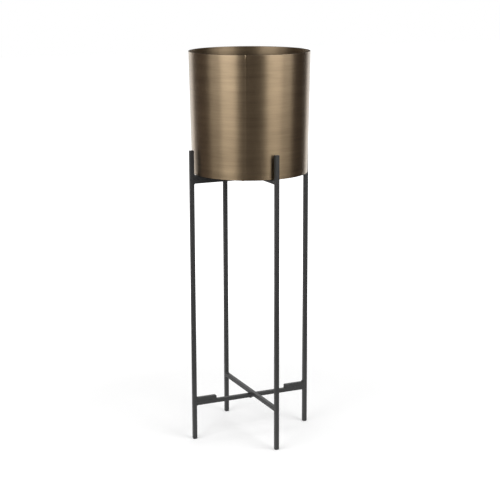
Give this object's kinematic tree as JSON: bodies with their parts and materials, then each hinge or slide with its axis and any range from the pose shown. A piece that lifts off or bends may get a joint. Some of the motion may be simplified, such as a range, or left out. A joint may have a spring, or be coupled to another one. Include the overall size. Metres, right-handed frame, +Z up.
{
  "type": "plant stand",
  "caption": "Tapered round metal pot standing between the legs of a folding stand of solid square bar, with stacked crossbars riveted where they cross.",
  "frame": {"origin": "on the floor, under the middle of the stand", "axes": "+Z up; frame A, with the seat tabs, runs along X, and frame B along Y"},
  "size_m": [0.318, 0.318, 0.966],
  "materials": {
    "stand_black": "satin black powder coat on steel bar",
    "rivet_black": "the same powder coat, a little worn on the dome",
    "glide_plastic": "moulded black plastic",
    "pot_brass": "antique brass, brushed round the pot"
  },
  "bodies": {
    "frame_a": {"leg_left": "stand_black", "leg_right": "stand_black", "lower_crossbar_a": "stand_black", "upper_crossbar_a": "stand_black", "lower_seat_tab_left": "stand_black", "lower_seat_tab_right": "stand_black", "upper_seat_tab_left": "stand_black", "upper_seat_tab_right": "stand_black", "lower_pivot_rivet": "rivet_black", "upper_pivot_rivet": "rivet_black", "foot_glide_left": "glide_plastic", "foot_glide_right": "glide_plastic"},
    "frame_b": {"leg_front": "stand_black", "leg_back": "stand_black", "lower_crossbar_b": "stand_black", "upper_crossbar_b": "stand_black", "foot_glide_front": "glide_plastic", "foot_glide_back": "glide_plastic"},
    "pot": {"pot_wall": "pot_brass", "pot_base": "pot_brass"}
  },
  "joints": [
    {"name": "frame_fold", "type": "hinge", "parent": "frame_a", "child": "frame_b", "pos_m": [0, 0, 0.1], "axis": [0, 0, 1], "range_deg": [-83, 83]},
    {"name": "pot_lift", "type": "slide", "parent": "frame_a", "child": "pot", "axis": [0, 0, 1], "range_m": [0, 0.12]}
  ]
}
